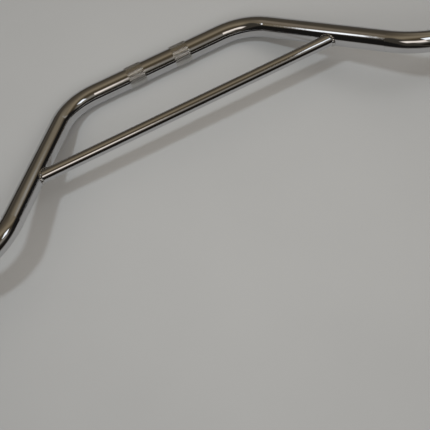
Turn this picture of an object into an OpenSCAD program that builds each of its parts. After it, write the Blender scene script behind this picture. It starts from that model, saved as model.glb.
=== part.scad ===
// Motorcycle handlebar: one chromed steel tube bent four times, with two
// knurled clamp seats rolled into its middle, and a thinner cross brace
// coped to fit the risers and welded to them. The bar lies as it comes to
// rest: on its clamp seats and on the tips of its two grip ends.

/* [Main tube] */
// Outside diameter of the main tube
tube_d = 22.2; // [19:0.1:25.4]
// Wall thickness of the main tube
tube_wall = 2; // [1.2:0.1:3]
// Radius of every bend, at the tube's centreline
bend_r = 59; // [50:1:80]
// Straight middle between the two inner bends
middle_len = 146; // [120:1:200]
// Angle of each inner bend, from the middle up into the riser
inner_bend = 51.5; // [40:0.5:65]
// Straight riser between an inner and an outer bend
riser_len = 135.5; // [110:0.5:190]
// Angle of each outer bend, from the riser out to the grip end
outer_bend = 58.5; // [45:0.5:70]
// Sweep of the outer bends, turned back about the riser
sweep_turn = 21; // [10:1:40]
// How much the tube's radius draws down where it is bent
draw_down = 0.03; // [0.02:0.01:0.1]
// Straight end that carries the grip and the controls
grip_len = 170; // [140:1:220]
// Corner broken inside and outside at each cut end
end_break = 0.5; // [0.2:0.1:0.8]

/* [Clamp seats] */
// Length of each knurled band
knurl_len = 18; // [12:1:30]
// Distance between the centres of the two bands
knurl_spacing = 52; // [45:1:90]
// Height of the rolled crests over the tube
knurl_rise = 0.3; // [0.2:0.05:0.5]

/* [Cross brace] */
// Outside diameter of the brace
brace_d = 12.7; // [10:0.1:16]
// Wall thickness of the brace
brace_wall = 1.5; // [1:0.1:2.5]
// Height of the brace's centreline over the middle's, along the risers' plane
brace_height = 86.5; // [60:0.5:105]

/* [Welds] */
// Radius of one weld puddle; a row of them rings each end of the brace
puddle_r = 3.4; // [3:0.1:4.2]
// Depth of the puddles' centres inside both tubes
weld_root = 1; // [0.6:0.1:1.4]
// Number of puddles round a weld
ripples = 20; // [16:1:24]

/* [Hidden] */
$fn = 96;
tube_r = tube_d / 2;
bore_r = tube_r - tube_wall;
brace_r = brace_d / 2;
seat_r = tube_r + knurl_rise;

// Length of straight tube that runs on into each bend before it draws down
lap = 1;

// The bender's table for one side: feed, turn about the tube, bend
bends = [
    [0, 0, inner_bend],
    [riser_len, 180 - sweep_turn, outer_bend],
    [grip_len, 0, 0]
];

// Frames along the table: each is a point, the tube's direction and the side
// that the next bend goes to, after the feed and the turn of its row
function turned(u, w, t) = cos(t) * w - sin(t) * cross(w, u);
function walk(i, p, u, w) = i == len(bends) ? [] :
    let (q = p + bends[i][0] * u,
         s = turned(u, w, bends[i][1]),
         a = bends[i][2])
    concat([[q, u, s]],
           walk(i + 1,
                q + bend_r * (sin(a) * u + (1 - cos(a)) * s),
                cos(a) * u + sin(a) * s,
                cos(a) * s - sin(a) * u));
frames = walk(0, [middle_len / 2, 0, 0], [1, 0, 0], [0, 0, 1]);
tip = frames[2][0];
tip_u = frames[2][1];

// Height of a grip end's lowest edge when the bar is turned by t about the
// middle's axis. The edge is the outer corner, one chamfer back from the cut
function up(v, t) = v[1] * sin(t) + v[2] * cos(t);
function grip_low(t) = up(tip - end_break * tip_u, t)
    - tube_r * sqrt(1 - pow(up(tip_u, t), 2));
// Angle at which the clamp seats and both grip ends touch the surface
function settle(lo, hi, n) = let (m = (lo + hi) / 2)
    n == 0 ? m :
    grip_low(m) > -seat_r ? settle(m, hi, n - 1) : settle(lo, m, n - 1);
rest_turn = settle(0, 180, 40);

// How far the bar reaches in front of its middle when it lies down
function front(v) = v[1] * cos(rest_turn) - v[2] * sin(rest_turn);
function reach(p, u, r) = front(p) - r * sqrt(1 - pow(front(u), 2));
bow = [for (i = [0:$fn])
    let (f = frames[1], a = outer_bend * i / $fn,
         u = cos(a) * f[1] + sin(a) * f[2])
    reach(f[0] + bend_r * (sin(a) * f[1] + (1 - cos(a)) * f[2]), u, tube_r)];
front_y = min(min(bow), reach(tip - end_break * tip_u, tip_u, tube_r));
back_y = seat_r;

// Where the brace meets a riser's centreline
brace_x = frames[0][0][0] + bend_r * sin(inner_bend)
    + (brace_height - bend_r * (1 - cos(inner_bend))) / tan(inner_bend);

module lay_down() {
    translate([0, -(front_y + back_y) / 2, seat_r])
        rotate([rest_turn, 0, 0]) children();
}

module both_sides() {
    children();
    mirror([1, 0, 0]) children();
}

module straight(length, r) {
    rotate([0, 90, 0]) cylinder(h = length, r = r);
}

// What follows a bend, turned with the tube
module past_bend(angle) {
    translate([0, 0, bend_r]) rotate([0, -angle, 0])
        translate([0, 0, -bend_r]) children();
}

// A bend. The tube draws down a hair as it is pulled round
module bend(angle, r) {
    translate([0, 0, bend_r]) rotate([90, 0, 0]) rotate([0, 0, -90])
        rotate_extrude(angle = angle) translate([bend_r, 0])
            circle(r = r - draw_down);
}

// One side of the bar from row i of the table, with its grip end as child
module bent_side(r, i = 0) {
    feed = bends[i][0];
    if (i < len(bends) - 1) {
        if (feed > 0) translate([-lap, 0, 0]) straight(feed + 2 * lap, r);
        translate([feed, 0, 0]) rotate([bends[i][1], 0, 0]) {
            bend(bends[i][2], r);
            past_bend(bends[i][2]) bent_side(r, i + 1) children();
        }
    }
    else children();
}

// Outside of a grip end, with its outer corner broken
module grip_end() {
    translate([-lap, 0, 0]) straight(grip_len - end_break + lap, tube_r);
    translate([grip_len - end_break, 0, 0]) rotate([0, 90, 0])
        cylinder(h = end_break, r1 = tube_r, r2 = tube_r - end_break);
}

// Bore of a grip end, with its mouth deburred
module grip_bore() {
    translate([-lap, 0, 0]) straight(grip_len + lap + 1, bore_r);
    translate([grip_len - end_break, 0, 0]) rotate([0, 90, 0])
        cylinder(h = 2 * end_break, r1 = bore_r, r2 = bore_r + 2 * end_break);
}

// Raised band of a clamp seat, with its two edges eased
module clamp_band() {
    rotate([0, 90, 0]) rotate_extrude() polygon([
        [bore_r + tube_wall / 2, -knurl_len / 2],
        [tube_r, -knurl_len / 2],
        [seat_r, -knurl_len / 2 + knurl_rise],
        [seat_r, knurl_len / 2 - knurl_rise],
        [tube_r, knurl_len / 2],
        [bore_r + tube_wall / 2, knurl_len / 2]
    ]);
}

module handlebar_tube() {
    color("silver") lay_down() difference() {
        union() {
            translate([-middle_len / 2 - lap, 0, 0])
                straight(middle_len + 2 * lap, tube_r);
            both_sides() {
                translate([middle_len / 2, 0, 0]) bent_side(tube_r) grip_end();
                translate([knurl_spacing / 2, 0, 0]) clamp_band();
            }
        }
        union() {
            translate([-middle_len / 2 - lap, 0, 0])
                straight(middle_len + 2 * lap, bore_r);
            both_sides()
                translate([middle_len / 2, 0, 0]) bent_side(bore_r) grip_bore();
        }
    }
}

// The straight riser as a solid rod through the joint, to cope and trim with
module riser_rod() {
    translate([brace_x, 0, brace_height]) rotate([0, -inner_bend, 0])
        translate([-3 * tube_d, 0, 0]) straight(6 * tube_d, tube_r);
}

module cross_brace() {
    color("silver") lay_down() difference() {
        translate([-brace_x, 0, brace_height]) straight(2 * brace_x, brace_r);
        translate([-brace_x - 1, 0, brace_height])
            straight(2 * brace_x + 2, brace_r - brace_wall);
        both_sides() riser_rod();
    }
}

// Point at angle g round the brace, a outside the brace's surface and b
// outside the riser's. With a and b at 0 it runs along the joint's corner
function weld_point(g, a, b) =
    let (y = (brace_r + a) * sin(g), z = (brace_r + a) * cos(g))
    [brace_x - (sqrt(pow(tube_r + b, 2) - y * y) - z * cos(inner_bend))
        / sin(inner_bend), y, brace_height + z];

// The weld: one puddle after another along the corner, each rooted in both
// tubes, and trimmed to what lies outside them
module weld_bead() {
    difference() {
        union() {
            for (k = [0:ripples - 1])
                translate(weld_point((k + 0.5) * 360 / ripples,
                                     -weld_root, -weld_root))
                    sphere(r = puddle_r);
        }
        riser_rod();
        translate([0, 0, brace_height]) straight(brace_x, brace_r);
    }
}

module weld_right() {
    color("gainsboro") lay_down() weld_bead();
}

module weld_left() {
    color("gainsboro") lay_down() mirror([1, 0, 0]) weld_bead();
}

handlebar_tube();
cross_brace();
weld_left();
weld_right();
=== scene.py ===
import math

import bmesh
import bpy
from mathutils import Matrix, Vector


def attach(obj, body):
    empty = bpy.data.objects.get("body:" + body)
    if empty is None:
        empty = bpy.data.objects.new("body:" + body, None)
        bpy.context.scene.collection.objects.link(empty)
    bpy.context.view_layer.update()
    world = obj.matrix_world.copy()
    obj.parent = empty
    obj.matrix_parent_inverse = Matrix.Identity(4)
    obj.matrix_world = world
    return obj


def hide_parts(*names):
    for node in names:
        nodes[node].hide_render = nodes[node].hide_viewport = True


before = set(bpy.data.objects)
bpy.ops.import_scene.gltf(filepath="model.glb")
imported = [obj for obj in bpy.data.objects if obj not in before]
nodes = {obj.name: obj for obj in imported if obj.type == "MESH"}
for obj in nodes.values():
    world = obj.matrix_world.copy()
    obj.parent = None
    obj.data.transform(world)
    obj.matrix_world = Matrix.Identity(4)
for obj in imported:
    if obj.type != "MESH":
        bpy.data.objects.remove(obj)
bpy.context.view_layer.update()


# The bar itself is one steel tube bent four times, polished and then plated
# with nickel and chromium. The plate mirrors all that lies round it, with the
# faint waviness and clouding that a polishing wheel leaves.
class Socket:
    """One output of a shader node, which arithmetic adds Math nodes to."""

    def __init__(self, shader, socket):
        self.shader = shader
        self.socket = socket

    def maths(self, operation, *values):
        return self.shader.node("ShaderNodeMath", {"operation": operation}, *values)

    def __add__(self, other): return self.maths("ADD", self, other)
    def __radd__(self, other): return self.maths("ADD", other, self)
    def __sub__(self, other): return self.maths("SUBTRACT", self, other)
    def __rsub__(self, other): return self.maths("SUBTRACT", other, self)
    def __mul__(self, other): return self.maths("MULTIPLY", self, other)
    def __rmul__(self, other): return self.maths("MULTIPLY", other, self)
    def __truediv__(self, other): return self.maths("DIVIDE", self, other)
    def __rtruediv__(self, other): return self.maths("DIVIDE", other, self)

    def rise(self, low, high):
        """0 below low, 1 above high, and a smooth step from one to the other."""
        return self.shader.node(
            "ShaderNodeMapRange", {"interpolation_type": "SMOOTHSTEP"}, self, low, high)

    def band(self, start, full, fade, end):
        """1 from full to fade, falling smoothly to 0 at start and at end."""
        return self.rise(start, full) * (1 - self.rise(fade, end))

    def feed(self, node, name):
        self.shader.tree.links.new(self.socket, node.inputs[name])


class Shader:
    """The node tree of one material, or of the world."""

    def __init__(self, owner, output_node):
        owner.use_nodes = True
        self.tree = owner.node_tree
        self.surface = self.tree.nodes[output_node]

    def node(self, kind, settings, *values, output=0, **named):
        made = self.tree.nodes.new(kind)
        for name, value in settings.items():
            if name == "stops":
                ramp = made.color_ramp
                while len(ramp.elements) < len(value):
                    ramp.elements.new(1.0)
                for element, (place, colour) in zip(ramp.elements, value):
                    element.position = place
                    element.color = (*colour, 1.0)
            else:
                setattr(made, name, value)
        for place, value in list(enumerate(values)) + list(named.items()):
            if isinstance(value, Socket):
                self.tree.links.new(value.socket, made.inputs[place])
            else:
                made.inputs[place].default_value = value
        return Socket(self, made.outputs[output])

    def mix(self, factor, first, second):
        made = self.tree.nodes.new("ShaderNodeMix")
        made.data_type = "RGBA"
        for place, value in ((0, factor), (6, first), (7, second)):
            if isinstance(value, Socket):
                self.tree.links.new(value.socket, made.inputs[place])
            else:
                made.inputs[place].default_value = (*value, 1.0)
        return Socket(self, made.outputs[2])

    def object_place(self):
        return self.node("ShaderNodeTexCoord", {}, output="Object")


def chrome(name, tint, haze, cloudiness, wave_size, wave_depth):
    """Plate of one tint: haze is its roughness, and cloudiness is added in clouds."""
    material = bpy.data.materials.new(name)
    shader = Shader(material, "Principled BSDF")
    place = shader.object_place()
    cloud = shader.node("ShaderNodeTexNoise", {}, Vector=place, Scale=45.0,
                        Detail=5.0, Roughness=0.6)
    wave = shader.node("ShaderNodeTexNoise", {}, Vector=place, Scale=wave_size,
                       Detail=2.0, Roughness=0.5)
    duller = tuple(0.94 * c for c in tint)
    shader.mix(cloud.rise(0.4, 0.7), tint, duller).feed(shader.surface, "Base Color")
    (haze + cloud.rise(0.45, 0.75) * cloudiness).feed(shader.surface, "Roughness")
    shader.node("ShaderNodeBump", {}, Strength=0.3, Distance=wave_depth,
                Height=wave).feed(shader.surface, "Normal")
    shader.surface.inputs["Metallic"].default_value = 1.0
    return material


def finish_node(name, material):
    nodes[name].data.materials.clear()
    nodes[name].data.materials.append(material)


tube_chrome = chrome("tube_chrome", tint=(0.60, 0.60, 0.61), haze=0.05,
                     cloudiness=0.04, wave_size=70.0, wave_depth=0.0001)
finish_node("handlebar_tube", tube_chrome)

# The two clamp seats are knurled: a pair of wheels rolls crossing grooves
# into the tube, and the metal rises between them as rows of small diamonds.
# They are plated with the bar, and look grey because they scatter the light.
band_length = 0.018
band_spacing = 0.052
groove_radius = 0.01142
crest_height = 0.0002
diamonds_round = 32
eased_end = 0.0006
skirt_shrink = 0.98
seat_height = 0.0114
seat_back = 0.07484
lowest_crest = 0.00002

knurl_chrome = chrome("knurl_chrome", tint=(0.54, 0.53, 0.51), haze=0.08,
                      cloudiness=0.10, wave_size=1500.0, wave_depth=0.0006)


def cut_beyond(form, place, way):
    bmesh.ops.bisect_plane(form, geom=form.verts[:] + form.edges[:] + form.faces[:],
                           plane_co=place, plane_no=way, clear_outer=True)


def add_piece(name, form, material):
    mesh = bpy.data.meshes.new(name)
    form.to_mesh(mesh)
    form.free()
    mesh.materials.append(material)
    piece = bpy.data.objects.new(name, mesh)
    bpy.context.collection.objects.link(piece)
    return piece


half_band = band_length / 2
half_round = math.pi * groove_radius
pitch = 2 * half_round / diamonds_round
cells = 2 * diamonds_round
for side, sign in (("left", -1), ("right", 1)):
    # Diamonds standing on their points, laid flat and trimmed to the band
    knurl = bmesh.new()
    bmesh.ops.create_grid(knurl, x_segments=cells, y_segments=cells,
                          size=cells * pitch / math.sqrt(2) / 2)
    bmesh.ops.rotate(knurl, verts=knurl.verts, cent=(0, 0, 0),
                     matrix=Matrix.Rotation(math.pi / 4, 3, "Z"))
    for way in (-1, 1):
        cut_beyond(knurl, (way * (half_band + pitch), 0, 0), (way, 0, 0))
    bmesh.ops.poke(knurl, faces=knurl.faces, offset=crest_height)
    for way in (-1, 1):
        cut_beyond(knurl, (way * half_band, 0, 0), (way, 0, 0))
    for way in (-1, 1):
        cut_beyond(knurl, (0, way * half_round, 0), (0, way, 0))
    # Wrapped round the tube, with both ends eased down
    for vert in knurl.verts:
        ease = min(1.0, (half_band - abs(vert.co.x)) / eased_end)
        radius = groove_radius + vert.co.z * max(0.0, ease)
        turn = vert.co.y / groove_radius
        vert.co = (vert.co.x, radius * math.sin(turn), radius * math.cos(turn))
    bmesh.ops.remove_doubles(knurl, verts=knurl.verts, dist=1e-6)
    # A skirt closes each end into the tube
    rims = [edge for edge in knurl.edges if edge.is_boundary]
    skirt = bmesh.ops.extrude_edge_only(knurl, edges=rims)
    for part in skirt["geom"]:
        if isinstance(part, bmesh.types.BMVert):
            part.co.y *= skirt_shrink
            part.co.z *= skirt_shrink
    bmesh.ops.recalc_face_normals(knurl, faces=knurl.faces)
    bmesh.ops.translate(knurl, verts=knurl.verts,
                        vec=(sign * band_spacing / 2, seat_back, seat_height))
    # The crests that carry the bar are pressed flat
    for vert in knurl.verts:
        vert.co.z = max(vert.co.z, lowest_crest)
    piece = add_piece("knurl_" + side, knurl, knurl_chrome)
    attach(piece, "root")

# The cross brace is a thinner tube, coped at both ends to sit against the
# risers and plated together with the bar.
brace_chrome = chrome("brace_chrome", tint=(0.60, 0.60, 0.61), haze=0.06,
                      cloudiness=0.04, wave_size=70.0, wave_depth=0.0001)
finish_node("cross_brace", brace_chrome)

# Each end of the brace is closed to its riser by a weld, a ring of small
# puddles run round the joint by hand. It was dressed lightly before plating,
# so the plate over it is nearly as bright as on the tubes.
tube_radius = 0.0111
brace_radius = 0.00635
brace_end = 0.17026
brace_height = 0.0865
riser_slope = math.radians(51.5)
rest_turn = math.radians(65.9608)
bead_radius = 0.0017
ring_radius = brace_radius - 0.0002
puddles = 17
steps_per_puddle = 15
puddle_swell = 0.08
uneven_swell = 0.10
uneven_beat = 0.5

weld_chrome = chrome("weld_chrome", tint=(0.55, 0.54, 0.53), haze=0.08,
                     cloudiness=0.08, wave_size=300.0, wave_depth=0.0002)
for side, sign in (("left", -1), ("right", 1)):
    # A ring of round section
    bead = bmesh.new()
    section = bmesh.ops.create_circle(bead, segments=14, radius=bead_radius)["verts"]
    bmesh.ops.rotate(bead, verts=section, cent=(0, 0, 0),
                     matrix=Matrix.Rotation(math.pi / 2, 3, "X"))
    bmesh.ops.translate(bead, verts=section, vec=(0, 0, ring_radius))
    bmesh.ops.spin(bead, geom=bead.verts[:] + bead.edges[:], cent=(0, 0, 0), axis=(1, 0, 0),
                   angle=2 * math.pi, steps=steps_per_puddle * puddles,
                   use_merge=True, use_duplicate=False)
    # Each puddle swells and dips, and the ring bends to the riser's round side
    for vert in bead.verts:
        across, up = vert.co.y, vert.co.z
        turn = math.atan2(across, up)
        beat = turn * puddles + uneven_beat * math.sin(3 * turn)
        swell = 1.0 + puddle_swell * math.cos(beat) + uneven_swell * math.sin(2 * turn + 1)
        out = ring_radius + (math.hypot(across, up) - ring_radius) * swell
        corner_y, corner_z = brace_radius * math.sin(turn), brace_radius * math.cos(turn)
        seat = brace_end - (math.sqrt(tube_radius ** 2 - corner_y ** 2)
                            - corner_z * math.cos(riser_slope)) / math.sin(riser_slope)
        vert.co = (sign * (seat + vert.co.x * swell), out * math.sin(turn), out * math.cos(turn))
    # Up to the brace, then laid down with the bar
    bmesh.ops.translate(bead, verts=bead.verts, vec=(0, 0, brace_height))
    bmesh.ops.rotate(bead, verts=bead.verts, cent=(0, 0, 0),
                     matrix=Matrix.Rotation(rest_turn, 3, "X"))
    bmesh.ops.translate(bead, verts=bead.verts, vec=(0, seat_back, seat_height))
    bmesh.ops.recalc_face_normals(bead, faces=bead.faces)
    for face in bead.faces:
        face.smooth = True
    piece = add_piece("weld_bead_" + side, bead, weld_chrome)
    finish_node("weld_" + side, weld_chrome)
    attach(piece, "root")
    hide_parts("weld_" + side)

# The bar lies on a matt table top, painted a pale grey that is a little uneven at random, with
# painted shade that makes it darker away from the middle. Only in the chrome is its far end
# painted dark, a painted reflection.
table_reach = 3.0
table_middle = (0.04, -0.08, 0.0)
pale_paint = (0.424, 0.427, 0.431)
# Painted shade: the table colour darkens away from the middle, standing in for light that falls
# off there.
outer_painted_shade = (0.318, 0.322, 0.328)
# Painted reflection: a near-black table colour seen only by glossy rays, so the chrome mirrors
# the far table dark.
mirrored_far_shade = (0.070, 0.063, 0.053)

table_paint = bpy.data.materials.new("table_paint")
shader = Shader(table_paint, "Principled BSDF")
place = shader.object_place()
mottle = shader.node("ShaderNodeTexNoise", {}, Vector=place, Scale=7.0, Detail=4.0)
far = shader.node("ShaderNodeVectorMath", {"operation": "DISTANCE"}, place, table_middle,
                  output="Value")
# Painted shade by distance from the middle, plus a random mottle that is the paint's own tone.
painted_falloff_and_mottle = far.rise(0.05, 0.60) * 0.8 + mottle * 0.3
paint = shader.mix(painted_falloff_and_mottle, pale_paint, outer_painted_shade)
glossy = shader.node("ShaderNodeLightPath", {}, output="Is Glossy Ray")
# Glossy rays see the far table painted dark, a painted reflection; the camera and lamps see the
# paint.
shader.mix(glossy * far.rise(0.26, 0.72), paint, mirrored_far_shade).feed(shader.surface, "Base Color")
shader.surface.inputs["Roughness"].default_value = 0.9

top = bmesh.new()
bmesh.ops.create_grid(top, x_segments=1, y_segments=1, size=table_reach)
add_piece("table_top", top, table_paint)

# The room is what the chrome mirrors: a warm dim ceiling that darkens towards
# the walls, with pale windows and ledges in it. The table sees plain soft
# light from above instead, and the camera a pale grey beyond the table.
world = bpy.data.worlds.new("room")
bpy.context.scene.world = world
shader = Shader(world, "Background")
way = shader.node("ShaderNodeTexCoord", {}, output="Generated")
x, y, z = (shader.node("ShaderNodeSeparateXYZ", {}, way, output=name) for name in "XYZ")
# Where a direction meets a plane one metre up: u sideways and v away
height = z.maths("MAXIMUM", z, 0.02)
u = x / height
v = y / height
left = 0 - u
# From the horizon behind the bar, over the top, to the horizon before it
arc = z.maths("ARCTAN2", height, y) / math.pi
room = shader.node("ShaderNodeValToRGB", {"stops": (
    (0.00, (0.100, 0.088, 0.072)),
    (0.10, (0.072, 0.061, 0.046)),
    (0.17, (0.088, 0.073, 0.052)),
    (0.27, (0.150, 0.120, 0.082)),
    (0.36, (0.270, 0.222, 0.152)),
    (0.41, (0.305, 0.252, 0.170)),
    (0.45, (0.205, 0.165, 0.108)),
    (0.50, (0.092, 0.071, 0.042)),
    (0.56, (0.075, 0.058, 0.036)),
    (0.61, (0.120, 0.098, 0.070)),
    (0.67, (0.290, 0.265, 0.225)),
    (0.72, (0.280, 0.262, 0.230)),
    (0.765, (0.075, 0.068, 0.055)),
    (0.805, (0.018, 0.015, 0.011)),
    (0.88, (0.012, 0.010, 0.008)),
    (1.00, (0.022, 0.019, 0.015)),
)}, arc)
corner = left.rise(0.20, 0.50) * (1 - v.rise(0.35, 0.65))
room = shader.mix(corner, room, (0.055, 0.048, 0.038))
beyond = (u - v.rise(0.2, 0.7) * 0.6).rise(1.0, 2.1) * (1 - v.rise(0.9, 1.5))
side_walls = 1 - (1 - beyond) * (1 - left.rise(1.1, 1.5))
room = shader.mix(side_walls, room, (0.012, 0.011, 0.010))
right_wall = u.band(0.30, 0.95, 1.50, 1.85) * v.band(0.45, 0.80, 1.6, 2.6)
room = shader.mix(right_wall, room, (0.240, 0.203, 0.145))
ledge = (v + u * 0.7).band(1.68, 1.80, 1.86, 1.99) * u.band(0.90, 1.15, 1.8, 2.3)
room = shader.mix(ledge, room, (0.38, 0.355, 0.31))
shelf = u.band(-0.80, -0.55, -0.35, -0.05) * v.band(0.75, 0.95, 1.3, 1.7)
room = shader.mix(shelf, room, (0.24, 0.20, 0.15))
drop = left.rise(0.05, 0.45) * 0.15 - v
window = u.band(-0.72, -0.58, 0.08, 0.15) * drop.band(0.28, 0.44, 0.62, 0.88)
room = shader.mix(window, room, (1.32, 1.19, 1.07))
slant = u - (v - 0.51) * 1.44
slanted_window = slant.band(-1.10, -1.00, -0.87, -0.82) * v.band(0.39, 0.49, 0.56, 0.69)
room = shader.mix(slanted_window, room, (1.8, 1.85, 1.9))

soft_light = shader.node("ShaderNodeVectorMath", {"operation": "SCALE"},
                         (1.10, 1.0, 0.87), Scale=0.10 + z * z * 0.80)
seen, glossy, scattered = (
    shader.node("ShaderNodeLightPath", {}, output=name)
    for name in ("Is Camera Ray", "Is Glossy Ray", "Diffuse Depth"))
plain = shader.mix(seen, soft_light, (0.80, 0.80, 0.80))
mirrored = glossy * (1 - scattered.maths("MINIMUM", scattered, 1))
shader.mix(mirrored, plain, room).feed(shader.surface, "Color")
shader.surface.inputs["Strength"].default_value = 1.0


# A small ceiling lamp throws the crisp shadows, and two large soft lights
# fill them. They light the table, and a near window is seen in the chrome.
def lamp(name, shape, place, target, size, power, colour, lights_table):
    data = bpy.data.lights.new(name, "AREA")
    data.shape = shape
    data.size, data.size_y = size
    data.energy = power
    data.color = colour
    made = bpy.data.objects.new(name, data)
    made.location = place
    towards = Vector(target) - Vector(place)
    made.rotation_euler = towards.to_track_quat("-Z", "Y").to_euler()
    made.visible_camera = False
    made.visible_diffuse = lights_table
    made.visible_glossy = not lights_table
    bpy.context.collection.objects.link(made)


lamp("ceiling_lamp", "DISK", place=(-0.65, -0.05, 2.4), target=(0, 0, 0),
     size=(0.22, 0.22), power=16.5, colour=(0.85, 0.94, 1.0), lights_table=True)
lamp("window_light", "DISK", place=(-0.5, -1.9, 2.4), target=(0, 0, 0),
     size=(1.6, 1.6), power=21.0, colour=(0.97, 0.99, 1.0), lights_table=True)
lamp("side_light", "DISK", place=(1.5, -0.3, 2.4), target=(0, 0, 0),
     size=(0.8, 0.8), power=4.8, colour=(0.95, 0.98, 1.0), lights_table=True)
lamp("near_window", "RECTANGLE", place=(0.53, -0.24, 0.96), target=(0.53, -0.24, 0),
     size=(0.36, 0.32), power=0.56, colour=(0.90, 0.95, 1.0), lights_table=False)

# The camera looks down on the bar from its grip side, turned so that the
# clamped middle is at the upper left.
view = bpy.data.cameras.new("view")
view.sensor_width = 36.0
view.lens = 104.595
camera = bpy.data.objects.new("view", view)
camera.location = (-0.168499, -0.578211, 1.137713)
camera.rotation_euler = (0.406941, 0.072871, -0.464556)
bpy.context.collection.objects.link(camera)
bpy.context.scene.camera = camera

bpy.context.scene.view_settings.view_transform = "Standard"
